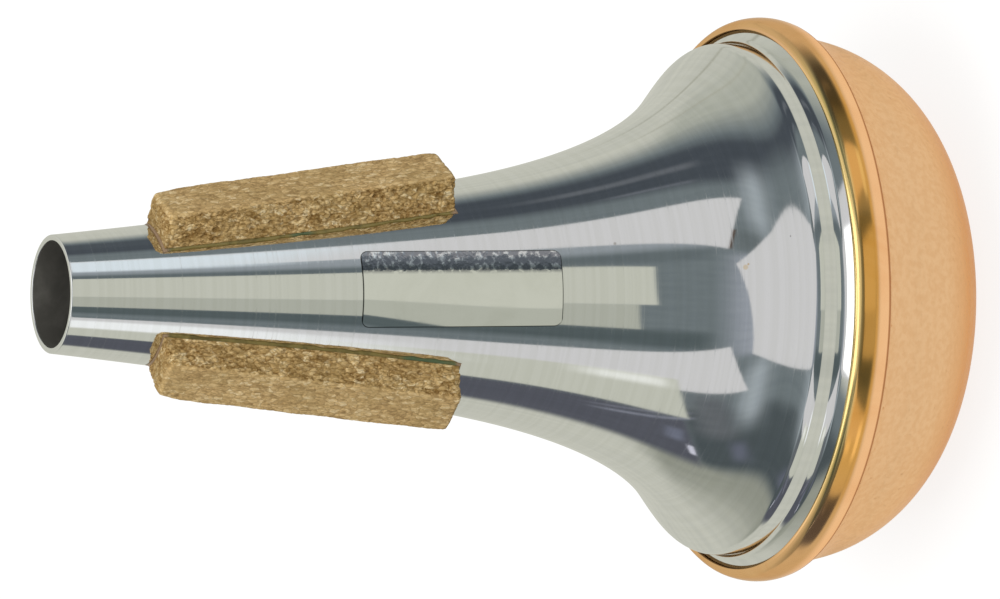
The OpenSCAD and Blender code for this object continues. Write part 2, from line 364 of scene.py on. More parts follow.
def strip_place(strip, across, along, up):
    """Radius and height at along and up, turned by the strip's skew about the line that leaves the
    axis through the strip's middle. Gives radius, sideways offset and height."""
    turn = np.radians(STRIPS[strip][1])
    middle = (CORK_LOW + CORK_HIGH) / 2
    r = strip_low[0] + along * strip_way[0] + up * strip_out[0]
    rise = strip_low[1] + along * strip_way[1] + up * strip_out[1] - middle
    return (r, across * np.cos(turn) - rise * np.sin(turn),
            middle + rise * np.cos(turn) + across * np.sin(turn))


def strip_point(strip, across, along, up):
    """That place, turned to the strip's direction round the axis."""
    r, side, z = strip_place(strip, across, along, up)
    a = np.radians(STRIPS[strip][0])
    return np.stack([r * np.cos(a) - side * np.sin(a), r * np.sin(a) + side * np.cos(a), z], axis=-1)


def neck_under(strip, across, along, over):
    """The up at which the strip's ray meets the neck, or a surface that far over it, by four steps of
    taking off what the distance from the axis is too large."""
    up = np.zeros(np.broadcast(across, along).shape)
    for _ in range(4):
        r, side, z = strip_place(strip, across, along, up)
        up = up - (np.hypot(r, side) - flank_r(z) - over) / strip_out[0]
    return up


# %% Blank of a cork strip
def box_grid(cells):
    """All whole-number points on the surface of a box of that many cells, and its quads."""
    quads = []
    for axis in range(3):
        u, v = [(1, 2), (2, 0), (0, 1)][axis]
        i, j = np.meshgrid(np.arange(cells[u]), np.arange(cells[v]), indexing="ij")
        for level, ring in ((0, [(0, 0), (0, 1), (1, 1), (1, 0)]),
                            (cells[axis], [(0, 0), (1, 0), (1, 1), (0, 1)])):
            quad = np.zeros(i.shape + (4, 3), dtype=np.int64)
            for corner, (du, dv) in enumerate(ring):
                quad[..., corner, u] = i + du
                quad[..., corner, v] = j + dv
                quad[..., corner, axis] = level
            quads.append(quad.reshape(-1, 4, 3))
    quads = np.concatenate(quads)
    points, index = np.unique(quads.reshape(-1, 3), axis=0, return_inverse=True)
    return points, index.reshape(-1, 4)


def rounded(local, size, radius):
    """Points of a box from 0 to size are drawn to within radius of the box inset by radius."""
    core = np.clip(local, radius, size - radius)
    out = local - core
    length = np.linalg.norm(out, axis=1, keepdims=True)
    return core + out * np.where(length > 1e-9, radius / np.maximum(length, 1e-9), 0)


CORK_CELLS = (50, 266, 31)
cork_points, cork_quads = box_grid(CORK_CELLS)
print("cork blank:", len(cork_points), "corners")

# %% Cut, wear and place the strips
GRANULE_MM, CRUMB_MM = np.array([1.0, 1.25, 0.85]), 0.5
PIT_SHARE, PIT_DEPTH, PIT_R = 0.13, 0.42, 0.55


def cork_strip(strip, seed):
    """The blank's across, along and up are rounded at its edges, most at its upper end, and pitted by
    its granules. Then up runs from the glue to the outer face, which thins towards the mouth."""
    share = cork_points / np.array(CORK_CELLS)
    size = np.array([CORK_W, CORK_LEN, CORK_T])
    local = share * size

    # Wear, as the radius of the edges: it wanders, grows towards both ends and fades near the glue.
    worn = 0.35 + 0.5 * soft_noise(local / 3.1, seed)
    worn += 1.5 * np.clip(10 * share[:, 1] - 9, 0, 1) + 0.5 * np.clip(1 - 10 * share[:, 1], 0, 1)
    worn = 0.25 + (worn - 0.25)[:, None] * np.clip(4 * share[:, 2:] - 1, 0, 1)
    shape = rounded(local, size, worn)

    # Relief, as a depth: each granule has its own, with creases between them and a few torn pits.
    near, gap, own = grains(local / GRANULE_MM, seed + 10)
    _, small_gap, small_own = grains(local / CRUMB_MM, seed + 20)
    outer = np.clip((share[:, 2] - 0.93) / 0.07, 0, 1)
    # end marks the upper cut end, which the cork material paints darker as shade.
    end = np.clip((share[:, 1] - 0.98) / 0.02, 0, 1)
    under = share[:, 2] < 0.02
    pit = np.where(own < PIT_SHARE, PIT_DEPTH * np.clip(1 - (near / PIT_R) ** 2, 0, 1), 0)
    crease = 0.17 * np.exp(-(gap / 0.12) ** 2) + 0.05 * np.exp(-(small_gap / 0.15) ** 2)
    depth = (0.16 * own + 0.08 * small_own + crease) * (1 - 0.72 * outer) + pit * (1 - 0.6 * outer)
    depth = np.where(under, 0, depth)
    way = shape - np.clip(local, 1.2, size - 1.2)
    way /= np.maximum(np.linalg.norm(way, axis=1, keepdims=True), 1e-9)
    shape = shape - depth[:, None] * way

    # Place on the neck.
    across, along = shape[:, 0] - CORK_W / 2, shape[:, 1]
    thick = CORK_T + (CORK_T_THIN - CORK_T) * along / CORK_LEN
    low = neck_under(strip, across, along, GLUE)
    up = low + (thick - low) * shape[:, 2] / CORK_T
    corners = strip_point(strip, across, along, up)
    # hollow is the depth of pits and creases. The cork material paints the deep ones darker as shade.
    return new_piece("cork_strip_" + strip, corners, cork_quads.tolist(), "cork", "cork_" + strip,
                     sanded=outer, end=end, hollow=np.clip(depth / 0.4, 0, 1))


corks = [cork_strip(strip, 40 + 7 * i) for i, strip in enumerate(STRIPS)]

# %% [markdown]
# Under each strip lies a film of contact glue that came out along the edges and dried olive, green
# in places and brown at the ends. The foil label is a sticker wrapped over the neck's front. Both
# are thin skins on the neck, so one helper closes a skin: it takes a grid of points on top and one
# below and joins their rims. Solidify could thicken the skin, but here the thickness also has to
# run out to nothing at a torn edge of glue, and to round off at the foil's edge.

# %% Closed skins
def skin(name, top, below, slot, node, normals=None, **marks):
    """Two grids of points with the same rows and columns, the lower one turned over, and quads
    between their rims."""
    rows, cols = top.shape[:2]
    index = np.arange(rows * cols).reshape(rows, cols)
    quads = np.stack([index[:-1, :-1], index[1:, :-1], index[1:, 1:], index[:-1, 1:]], -1).reshape(-1, 4)
    rim = np.concatenate([index[:-1, 0], index[-1, :-1], index[1:, -1][::-1], index[0, 1:][::-1]])
    after = np.roll(rim, -1)
    count = rows * cols
    walls = np.stack([rim, rim + count, after + count, after], -1)
    faces = np.concatenate([quads, quads[:, ::-1] + count, walls[:, ::-1]])
    corners = np.concatenate([top.reshape(-1, 3), below.reshape(-1, 3)])
    marks = {k: np.tile(v.ravel(), 2) for k, v in marks.items()}
    return new_piece(name, corners, faces.tolist(), slot, node, normals, **marks)


# %% Glue films
GLUE_OUT = 0.55


def glue_film(strip, seed):
    """Across and along run a little past the cork, as far as a soft noise says, and the film's
    height falls from the cork's underside to the neck there."""
    a, b = np.meshgrid(np.linspace(-1, 1, 61), np.linspace(0, 1, 221), indexing="ij")
    spots = np.stack([a.ravel() * 2, b.ravel() * 30, 0 * a.ravel()], axis=1)
    spread = (0.25 + 0.75 * soft_noise(spots * [0.6, 1, 1], seed).reshape(a.shape)) * GLUE_OUT
    across = a * (CORK_W / 2 + spread)
    along = (b - 0.5) * (CORK_LEN + 2 * spread) + CORK_LEN / 2
    beyond = np.maximum(np.abs(across) - CORK_W / 2, np.maximum(-along, along - CORK_LEN))
    lump = soft_noise(spots * 1.7, seed + 1).reshape(a.shape)
    height = GLUE * np.clip(1 - beyond / spread, 0, 1) ** 0.5 * np.where(beyond > 0, 0.55 + 0.45 * lump, 1)
    base = neck_under(strip, across, along, 0)
    top = strip_point(strip, across, along, base + height + 0.01)
    below = strip_point(strip, across, along, base - 0.02)
    return skin("glue_film_" + strip, top, below, "cork_glue", "glue_" + strip, length=b)


films = [glue_film(strip, 70 + 5 * i) for i, strip in enumerate(STRIPS)]

# %% Foil label
LABEL_LOW, LABEL_HIGH = 77.7, 112.6
LABEL_W, LABEL_CORNER, LABEL_T = 13.2, 1.4, 0.15
LABEL_BEND, LABEL_LEFT_BEND = 17.5, 24.5


def foil_label():
    """Rows run up the neck and are shorter where the corners round off. At half width w and height
    z, a point at share a lies w a off the middle, on the neck's circle at that height. Stiff foil
    shades as if it bent less: its normals turn with radius 17.5 to the right of the middle, and to
    the left with 24.5 / (0.8 + 0.8 rise^2)."""
    ease = 0.5 - 0.5 * np.cos(np.linspace(0, np.pi, 121))
    z = LABEL_LOW + (LABEL_HIGH - LABEL_LOW) * ease
    to_end = np.minimum(z - LABEL_LOW, LABEL_HIGH - z)
    dip = np.clip(LABEL_CORNER - to_end, 0, LABEL_CORNER)
    half = LABEL_W / 2 - LABEL_CORNER + np.sqrt(LABEL_CORNER ** 2 - dip ** 2)
    share = np.sin(np.linspace(-0.5, 0.5, 81) * np.pi)
    zz, x = np.broadcast_to(z, (81, 121)), share[:, None] * half
    inward = np.minimum(half - np.abs(x), to_end)
    edge = np.clip(inward / 0.25, 0, 1)
    lift = LABEL_T * (0.25 + 0.75 * np.sqrt(1 - (1 - edge) ** 2))

    def on_neck(over):
        r = flank_r(zz) + over
        return np.stack([x * r / flank_r(zz), -np.sqrt(r ** 2 - (x * r / flank_r(zz)) ** 2), zz], -1)

    tilt = np.arctan2(flank_r(zz - 0.5) - flank_r(zz + 0.5), 1.0)
    rise = (zz - LABEL_LOW) / (LABEL_HIGH - LABEL_LOW)
    turn = x / np.where(x < 0, LABEL_LEFT_BEND / (0.8 + 0.8 * rise ** 2), LABEL_BEND)
    normals = np.stack([np.sin(turn) * np.cos(tilt), -np.cos(turn) * np.cos(tilt), np.sin(tilt)], -1)
    normals = normals.reshape(-1, 3)
    return skin("foil_label", on_neck(lift), on_neck(-0.02 + 0 * lift), "foil", "label",
                np.concatenate([normals, -normals]), edge=edge, side=x / (LABEL_W / 2))


label = foil_label()

# %% [markdown]
# Now the finishes. A node group is the shader's word for a part that is made once and used in several
# places: fine spinning lines are on both metals, and a slow mottling of handling marks is on
# metal, foil and glue. The groups put out masks and heights only. The Principled shader stays in each
# material, with plain numbers on its own sockets where nothing varies.

# %% Node helpers
def tone(red, green, blue):
    """A screen colour from 0 to 255 as the linear numbers that Blender works in."""
    c = np.array([red, green, blue]) / 255
    linear = np.where(c <= 0.04045, c / 12.92, ((c + 0.055) / 1.055) ** 2.4)
    return (*linear.round(4).tolist(), 1.0)


def node(tree, kind, inputs=(), **settings):
    """Adds a node with its settings, and fills each named input with a number or another output."""
    made = tree.nodes.new("ShaderNode" + kind)
    for name, value in settings.items():
        setattr(made, name, value)
    for name, value in dict(inputs).items():
        if isinstance(value, bpy.types.NodeSocket):
            tree.links.new(value, made.inputs[name])
        else:
            made.inputs[name].default_value = value
    return made


def sums(tree, operation, *values):
    """One Math node on up to three numbers or outputs."""
    return node(tree, "Math", dict(enumerate(values)), operation=operation).outputs[0]


def times(tree, first, second):
    """The product of two numbers or outputs."""
    return sums(tree, "MULTIPLY", first, second)


def mix(tree, share, first, second, way="MIX"):
    """A Mix node for colours: share 0 gives the first and 1 the second."""
    return node(tree, "Mix", {0: share, 6: first, 7: second}, data_type="RGBA", blend_type=way).outputs[2]


def between(tree, value, low, high, to_low=0.0, to_high=1.0, smooth=True):
    """Value from low to high becomes to_low to to_high, eased at both ends."""
    kind = "SMOOTHSTEP" if smooth else "LINEAR"
    return node(tree, "MapRange", {"Value": value, "From Min": low, "From Max": high, "To Min": to_low,
                                   "To Max": to_high}, interpolation_type=kind).outputs["Result"]


def mark(tree, name):
    """The number that the mesh stores under this name."""
    return node(tree, "Attribute", attribute_name=name).outputs["Fac"]


def noise(tree, place, scale, detail):
    """The grey of a Noise Texture with this many lumps to a unit of place."""
    return node(tree, "TexNoise", {"Vector": place, "Scale": scale, "Detail": detail}).outputs["Fac"]


def relief(tree, height, distance, strength=1.0):
    """The normal of a surface on which a height of 1 stands out by the distance, in metres."""
    return node(tree, "Bump", {"Height": height, "Strength": strength, "Distance": distance}).outputs[0]


def new_group(name, inputs, outputs):
    """An empty node group with these sockets, and its two end nodes."""
    tree = bpy.data.node_groups.new(name, "ShaderNodeTree")
    for socket, kind, value in inputs:
        made = tree.interface.new_socket(socket, in_out="INPUT", socket_type="NodeSocket" + kind)
        if value is not None:
            made.default_value = value
    for socket, kind in outputs:
        tree.interface.new_socket(socket, in_out="OUTPUT", socket_type="NodeSocket" + kind)
    return tree, tree.nodes.new("NodeGroupInput").outputs, tree.nodes.new("NodeGroupOutput").inputs


def use_group(tree, group, inputs=()):
    """Places a group in a material and gives its outputs."""
    return node(tree, "Group", inputs, node_tree=group).outputs


def new_material(name, **constants):
    """A material with one Principled shader, constants on its sockets, and object coordinates."""
    made = bpy.data.materials.new(name)
    made.use_nodes = True
    tree = made.node_tree
    tree.nodes.clear()
    shader = node(tree, "BsdfPrincipled", {k.replace("_", " "): v for k, v in constants.items()})
    tree.links.new(shader.outputs[0], node(tree, "OutputMaterial").inputs["Surface"])
    place = node(tree, "TexCoord").outputs["Object"]
    return made, tree, shader, place


def spot(tree, place, middle, radius):
    """1 within a ball, given in millimetres, and 0 a little outside it."""
    ends = {0: place, 1: [v * MM for v in middle]}
    away = node(tree, "VectorMath", ends, operation="DISTANCE").outputs["Value"]
    return between(tree, away, 0.7 * radius * MM, 1.3 * radius * MM, 1.0, 0.0)


def feed(tree, shader, **sockets):
    """Links outputs to the shader's sockets."""
    for name, output in sockets.items():
        tree.links.new(output, shader.inputs[name.replace("_", " ")])


# %% Group: spinning lines
spinning, given, result = new_group(
    "spinning_lines",
    [("Along", "Float", None), ("Fine per metre", "Float", 6000.0), ("Broad per metre", "Float", 700.0)],
    [("Height", "Float"), ("Streak", "Float"), ("Scratch", "Float")])


def grooves(along, scale, detail):
    """The grey of a Noise Texture that changes along the section only."""
    inputs = {"W": along, "Scale": scale, "Detail": detail}
    return node(spinning, "TexNoise", inputs, noise_dimensions="1D").outputs["Fac"]


fine = grooves(given["Along"], given["Fine per metre"], 3.0)
broad = grooves(given["Along"], given["Broad per metre"], 4.0)
thin = grooves(given["Along"], 2600.0, 2.0)
lines = sums(spinning, "MULTIPLY_ADD", fine, 0.35, times(spinning, broad, 0.65))
spinning.links.new(lines, result["Height"])
spinning.links.new(between(spinning, broad, 0.35, 0.65), result["Streak"])
spinning.links.new(between(spinning, thin, 0.6, 0.8), result["Scratch"])

# %% Group: handling marks
handling, given, result = new_group(
    "handling_marks",
    [("Place", "Vector", None), ("Per metre", "Float", 45.0), ("Specks per metre", "Float", 260.0)],
    [("Haze", "Float"), ("Speck", "Float")])
haze = node(handling, "TexNoise", {"Vector": given["Place"], "Scale": given["Per metre"], "Detail": 5.0,
                                   "Roughness": 0.6, "Distortion": 0.6}).outputs["Fac"]
cells = node(handling, "TexVoronoi", {"Vector": given["Place"], "Scale": given["Specks per metre"]})
own = node(handling, "SeparateColor", {0: cells.outputs["Color"]}).outputs[0]
rare = sums(handling, "GREATER_THAN", own, 0.97)
dot = between(handling, cells.outputs["Distance"], 0.04, 0.10, 1.0, 0.0)
handling.links.new(between(handling, haze, 0.42, 0.68), result["Haze"])
handling.links.new(times(handling, rare, dot), result["Speck"])

# %% [markdown]
# Aluminium straight from the spinning lathe is bright, with hair-fine lines all round it. They blur a
# reflection along the neck and leave it sharp across, which is what the lines' bump does here. The
# inside was never polished, so it is duller and darker.

# %% Spun aluminium
GROOVE = 0.0000022
# Each stain or nick has its middle and radius in millimetres, and its colour.
STAINS = [((2.8, -35.3, 48.7), 0.45, tone(232, 218, 194)), ((3.3, -35.6, 48.3), 0.2, tone(222, 202, 172)),
          ((7.8, -40.8, 42.6), 0.12, tone(120, 120, 118)), ((-22.6, -30.1, 45.2), 0.3, tone(150, 146, 138))]

aluminium, tree, shader, place = new_material("spun_aluminium")
lines = use_group(tree, spinning, {"Along": times(tree, mark(tree, "along"), MM)})
marks = use_group(tree, handling, {"Place": place})
inner = mark(tree, "inner")
bright = mix(tree, lines["Streak"], tone(235, 236, 234), tone(239, 240, 239))
bright = mix(tree, times(tree, marks["Speck"], 0.6), bright, tone(165, 160, 150))
for middle, radius, stain in STAINS:
    bright = mix(tree, spot(tree, place, middle, radius), bright, stain)
dull = mix(tree, marks["Haze"], tone(112, 110, 104), tone(152, 150, 142))
colour = mix(tree, inner, bright, dull)
polish = sums(tree, "MULTIPLY_ADD", marks["Haze"], 0.03, 0.05)
polish = sums(tree, "MULTIPLY_ADD", lines["Scratch"], 0.09, polish)
rough = sums(tree, "MULTIPLY_ADD", inner, 0.33, polish)
metal = sums(tree, "MULTIPLY_ADD", inner, -0.6, 1.0)
feed(tree, shader, Base_Color=colour, Metallic=metal, Roughness=rough,
     Normal=relief(tree, lines["Height"], GROOVE))
body_shell.data.materials.append(aluminium)

# %% [markdown]
# The end cap is copper. The hem was burnished when it was rolled over, so it is smoother, while the
# dome below the crease keeps a satin grain. The hem's golden colour, strongest at the front, is a
# painted reflection, and the paler yellow on top of its roll is a painted highlight. One material
# does both, because the sheet is one piece: the height above the base says which finish holds. Near
# the base the dome is painted darker and more orange, as shade and a warm reflection of the floor.
# The sheet's cut edge, which closes on the aluminium, is painted dark as shade, and the crease is
# darker in a thin line.

# %% Spun copper
copper, tree, shader, place = new_material("spun_copper", Metallic=1.0, Specular_Tint=tone(252, 232, 208))
lines = use_group(tree, spinning, {"Along": times(tree, mark(tree, "along"), MM),
                                   "Fine per metre": 5000.0, "Broad per metre": 350.0})
marks = use_group(tree, handling, {"Place": place, "Per metre": 60.0, "Specks per metre": 330.0})
parts = node(tree, "SeparateXYZ", {0: place}).outputs
height = sums(tree, "DIVIDE", parts[2], MM)
hem = between(tree, height, CREASE_Z - 0.1, CREASE_Z + 0.3)
front = times(tree, parts[1], -1.0)
off_front = sums(tree, "ARCTAN2", sums(tree, "ABSOLUTE", parts[0]), front)
# Painted reflection: the hem's golden colour, strongest at the front.
front_golden_reflection = times(tree, between(tree, height, CREASE_Z + 2.2, CREASE_Z + 2.8),
            between(tree, off_front, 0.6, 1.15, 1.0, 0.12))
# Painted highlight: the top of the roll is paler yellow.
curl_highlight = between(tree, height, CREASE_Z + 4.9, CREASE_Z + 5.7)
# Painted shade and warm reflection of the floor: the dome is darker and more orange near the base.
low_dome_shade = between(tree, height, 15.0, 4.0)
satin = mix(tree, low_dome_shade, tone(244, 201, 153), tone(228, 160, 98))
peel = noise(tree, place, 900.0, 1.5)
satin = mix(tree, between(tree, peel, 0.3, 0.7, 0.45, 0.0), satin, tone(228, 178, 126))
satin = mix(tree, times(tree, lines["Streak"], 0.1), satin, tone(244, 204, 158))
tan = mix(tree, marks["Haze"], tone(255, 203, 150), tone(250, 193, 138))
# The golden tones are the painted reflection on the front of the hem.
golden = mix(tree, marks["Haze"], tone(255, 190, 104), tone(250, 181, 90))
# The top of the roll gets the paler yellow of a painted highlight.
golden = mix(tree, curl_highlight, golden, tone(255, 224, 150))
colour = mix(tree, hem, satin, mix(tree, front_golden_reflection, tan, golden))
colour = mix(tree, times(tree, marks["Speck"], 0.5), colour, tone(176, 124, 84))
squares = [times(tree, part, part) for part in (parts[0], parts[1])]
radius = sums(tree, "SQRT", sums(tree, "ADD", *squares))
# Painted shade: the sheet's cut edge under the roll is darkened.
cut_edge_shade = times(tree, between(tree, height, HEM_Z - 1.2, HEM_Z - 1.0),
           between(tree, radius, (ROLL[0] + 0.02) * MM, (ROLL[0] + 0.12) * MM, 1.0, 0.0))
colour = mix(tree, cut_edge_shade, colour, tone(128, 100, 68))
off_crease = sums(tree, "ABSOLUTE", sums(tree, "SUBTRACT", height, CREASE_Z))
colour = mix(tree, between(tree, off_crease, 0.15, 0.5, 0.85, 0.0), colour, tone(168, 104, 60))
rough = between(tree, hem, 0.0, 1.0, 0.32, 0.13, smooth=False)
rough = sums(tree, "MULTIPLY_ADD", marks["Haze"], 0.04, rough)
pits = node(tree, "TexVoronoi", {"Vector": place, "Scale": 560.0}).outputs["Distance"]
grain = sums(tree, "MULTIPLY_ADD", between(tree, pits, 0.02, 0.2), 0.25, peel)
grain = times(tree, sums(tree, "SUBTRACT", 1.0, hem), times(tree, grain, 80.0))
feed(tree, shader, Base_Color=colour, Roughness=rough,
     Normal=relief(tree, sums(tree, "ADD", lines["Height"], grain), GROOVE))
end_cap.data.materials.append(copper)

# %% [markdown]
# Each granule of the cork has its own brown. A Voronoi pattern gives every cell a random colour, as
# the pressed granules have, and a second, finer one breaks the cells up. They are drawn out along
# the neck, the way the sheet was pressed. The sawn sides are golden, with painted shade in their
# deep pits and creases, the upper end cut across is painted darker as shade, and the outer face,
# sanded to fit a bell, is paler and flatter.

# %% Cork
cork, tree, shader, place = new_material("cork", Roughness=0.92, Specular_IOR_Level=0.2)
warp = node(tree, "TexNoise", {"Vector": place, "Scale": 900.0, "Detail": 2.0}).outputs["Color"]
drawn_out = node(tree, "Mapping", {"Vector": place, "Scale": (1.0, 1.0, 0.5)}).outputs[0]
bent = node(tree, "VectorMath", {0: warp, 1: (0.0006, 0.0006, 0.0006), 2: drawn_out},
            operation="MULTIPLY_ADD").outputs[0]
cells = {"Vector": bent, "Scale": 1150.0}
granule = node(tree, "TexVoronoi", cells)
crumb = node(tree, "TexVoronoi", {"Vector": bent, "Scale": 2900.0})
own = node(tree, "SeparateColor", {0: granule.outputs["Color"]}).outputs[0]
bit = node(tree, "SeparateColor", {0: crumb.outputs["Color"]}).outputs[1]
ramp = node(tree, "ValToRGB", {0: sums(tree, "MULTIPLY_ADD", bit, 0.45, times(tree, own, 0.55))})
stops = ramp.color_ramp.elements
stops[0].position, stops[0].color = 0.1, tone(140, 108, 60)
stops[1].position, stops[1].color = 0.92, tone(255, 234, 188)
for at, stop in ((0.3, tone(190, 156, 100)), (0.55, tone(218, 184, 126)), (0.75, tone(238, 208, 152))):
    stops.new(at).color = stop
seam = node(tree, "TexVoronoi", cells, feature="DISTANCE_TO_EDGE").outputs["Distance"]
sanded = mark(tree, "sanded")
hollow = mark(tree, "hollow")
colour = mix(tree, between(tree, seam, 0.0, 0.14, 0.55, 0.0), ramp.outputs[0], tone(130, 94, 46))
colour = mix(tree, times(tree, sanded, 0.3), colour, tone(226, 194, 142))
# Painted shade: the deepest pits and creases of the granules are darkened.
colour = mix(tree, between(tree, hollow, 0.4, 1.0, 0.0, 0.55), colour, tone(112, 80, 36))
# Painted shade: the upper cut end is darkened.
colour = mix(tree, times(tree, mark(tree, "end"), 0.35), colour, tone(116, 88, 48))
slow = noise(tree, place, 160.0, 3.0)
colour = mix(tree, between(tree, slow, 0.35, 0.7, 0.0, 0.22), colour, tone(164, 142, 90))
knobs = sums(tree, "MULTIPLY_ADD", granule.outputs["Distance"], -0.7,
             times(tree, crumb.outputs["Distance"], -0.5))
feed(tree, shader, Base_Color=colour, Normal=relief(tree, knobs, 0.00022, 0.65))
for piece in corks:
    piece.data.materials.append(cork)

# %% Dried glue
glue, tree, shader, place = new_material("dried_glue", Coat_Weight=0.4, Coat_Roughness=0.25)
marks = use_group(tree, handling, {"Place": place, "Per metre": 320.0, "Specks per metre": 900.0})
streak = noise(tree, place, 95.0, 2.0)
olive = mix(tree, marks["Haze"], tone(132, 118, 62), tone(98, 88, 42))
colour = mix(tree, between(tree, streak, 0.58, 0.68, 0.0, 0.8), olive, tone(66, 98, 70))
ends = sums(tree, "ABSOLUTE", sums(tree, "SUBTRACT", mark(tree, "length"), 0.5))
colour = mix(tree, between(tree, ends, 0.47, 0.49), colour, tone(158, 132, 104))
rough = sums(tree, "MULTIPLY_ADD", marks["Haze"], 0.25, 0.35)
feed(tree, shader, Base_Color=colour, Roughness=rough,
     Normal=relief(tree, marks["Haze"], 0.0001, 0.5))
for piece in films:
    piece.data.materials.append(glue)

# %% [markdown]
# The label is bare metal foil on adhesive paper. It was rubbed down by hand, so one side of it has
# come a little loose in ripples, and that side is painted darker as a dark reflection. Its dark cut
# edge shows as a fine line.

# %% Foil
foil, tree, shader, place = new_material("foil", Metallic=1.0)
marks = use_group(tree, handling, {"Place": place, "Per metre": 120.0, "Specks per metre": 500.0})
edge = mark(tree, "edge")
side = mark(tree, "side")
ripple_place = node(tree, "Mapping", {"Vector": place, "Scale": (900, 900, 1100)}).outputs[0]
ripple = noise(tree, ripple_place, 1.0, 3.0)
loose = between(tree, side, 0.36, 0.5)
rim = between(tree, edge, 0.3, 0.95)
silver = mix(tree, marks["Haze"], tone(244, 245, 242), tone(239, 240, 236))
silver = mix(tree, marks["Speck"], silver, tone(110, 112, 110))
# Painted reflection: the loose side is darkened, most where the ripples are low.
loose_side_dark_reflection = times(tree, loose, between(tree, ripple, 0.5, 0.68, 1.0, 0.1))
silver = mix(tree, loose_side_dark_reflection, silver, tone(150, 152, 156))
colour = mix(tree, rim, tone(50, 52, 48), silver)
rough = sums(tree, "MULTIPLY_ADD", marks["Haze"], 0.05, 0.06)
feed(tree, shader, Base_Color=colour, Roughness=rough,
     Normal=relief(tree, times(tree, ripple, loose), 0.00005))
label.data.materials.append(foil)

# %% [markdown]
# The ring of sealant sits in the closed rim, where nobody sees it. Its solid is right as it is, so
# only its material slots are filled, with a matt grey compound.

# %% Sealant
sealant, tree, shader, place = new_material("sealant", Roughness=0.85)
marks = use_group(tree, handling, {"Place": place, "Per metre": 700.0, "Specks per metre": 1500.0})
grey = mix(tree, marks["Haze"], tone(120, 118, 108), tone(96, 94, 86))
feed(tree, shader, Base_Color=mix(tree, marks["Speck"], grey, tone(60, 58, 52)),
     Normal=relief(tree, marks["Haze"], 0.0001, 0.6))
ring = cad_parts["rim_sealant"]
if not ring.material_slots:
    ring.data.materials.append(sealant)
for holder in ring.material_slots:
    holder.material = sealant
print("sealant on", ring.name)

# %% [markdown]
# Polished metal has no look of its own: it shows the studio. So the studio is the last finish. Its
# cards are painted on the world by direction, in degrees round the mute from -Y and above the
# horizon, and only reflections see them. A pale ring of paper stands all round, a dark screen in
# front leaves gaps for two tall light boxes, and small cream cards hang beside the camera. Two white
# panels and a lamp hang flat overhead: their straight sides are given on the ceiling, as they would
# bend if they were given by elevation. Real planes would do as well, but they would also have to be
# hidden from every other view.

# %% Group: one card of the studio
CARD_SIZES = ("Left", "Right", "Bottom", "Top", "Soft sides", "Soft ends", "Left lean", "Right lean", "Rise")
card, given, result = new_group(
    "studio_card",
    [(name, "Float", 0.0) for name in ("Azimuth", "Elevation", *CARD_SIZES)],
    [("Mask", "Float")])


def card_edge(value, edge, lean, across, soft):
    """0 before the edge and 1 after it, eased over the softness. The edge leans along the other way."""
    edge = sums(card, "MULTIPLY_ADD", across, given[lean], given[edge])
    start, end = [sums(card, way, edge, given[soft]) for way in ("SUBTRACT", "ADD")]
    return between(card, value, start, end)


around, above = given["Azimuth"], given["Elevation"]
left = card_edge(around, "Left", "Left lean", above, "Soft sides")
right = card_edge(around, "Right", "Right lean", above, "Soft sides")
low = card_edge(above, "Bottom", "Rise", around, "Soft ends")
high = card_edge(above, "Top", "Rise", around, "Soft ends")
wide = times(card, left, sums(card, "SUBTRACT", 1.0, right))
tall = times(card, low, sums(card, "SUBTRACT", 1.0, high))
card.links.new(times(card, wide, tall), result["Mask"])

# %% Cards and panels
PALE = tone(205, 205, 193)
WHITE = tone(213, 212, 213)
SLATE = tone(117, 126, 129)
LAMP = (1.6, 1.6, 1.6, 1.0)
# Each card has its colour and then its sizes, the last three only where its edges lean.
SCREENS = [
    (tone(156, 158, 146), -137, -90, 4, 66, 15.0, 5.0),
    (tone(184, 186, 174), 90, 134, 6, 60, 12.0, 5.0),
    (SLATE, -115, 30, -16, 70, 6.0, 3.0),
    (SLATE, -30, 112, -16, 70, 10.0, 3.0),
    (tone(160, 165, 174), -44, 27, 46, 72, 4.0, 10.0),
    (tone(88, 98, 100), -39, -27, -16, 36, 3.0, 6.0),
    (tone(104, 113, 116), 22, 29, -16, 34, 2.0, 6.0),
    (tone(108, 116, 118), 30, 44, 47, 58, 4.0, 3.0),
    (tone(80, 88, 91), -116, -80, 21, 60, 4.0, 3.0),
    (tone(106, 110, 114), -97, -70, 25, 40, 5.0, 6.0),
    (tone(104, 108, 122), -110, -100, 46.5, 52.5, 3.5, 3.0, 0, 0, 0.1),
    (tone(90, 92, 101), -117, -87, -16, 21, 4.0, 1.5),
    (tone(118, 122, 138), -104, -96, 33.6, 38.6, 2.0, 2.0, 0, 0, 0.2),
    (tone(140, 143, 156), -97, -95.6, 1, 24, 0.8, 3.0, 0.42, 0.42, 0),
    (tone(128, 130, 142), -93.4, -92.4, 1, 24, 0.8, 3.0, 0.42, 0.42, 0),
    (tone(74, 80, 87), 74, 102, -16, 52, 5.0, 6.0),
    (tone(104, 108, 114), 86, 90, -6, 22, 1.5, 4.0),
    (tone(108, 112, 120), 75.5, 77, 4, 24, 0.8, 3.0),
    (tone(170, 178, 183), -88, -50, 70.5, 80.5, 10.0, 6.0, 0, 0, 0.33),
    (tone(168, 176, 181), 46, 82, 68, 78, 10.0, 6.0, 0, 0, -0.33),
]
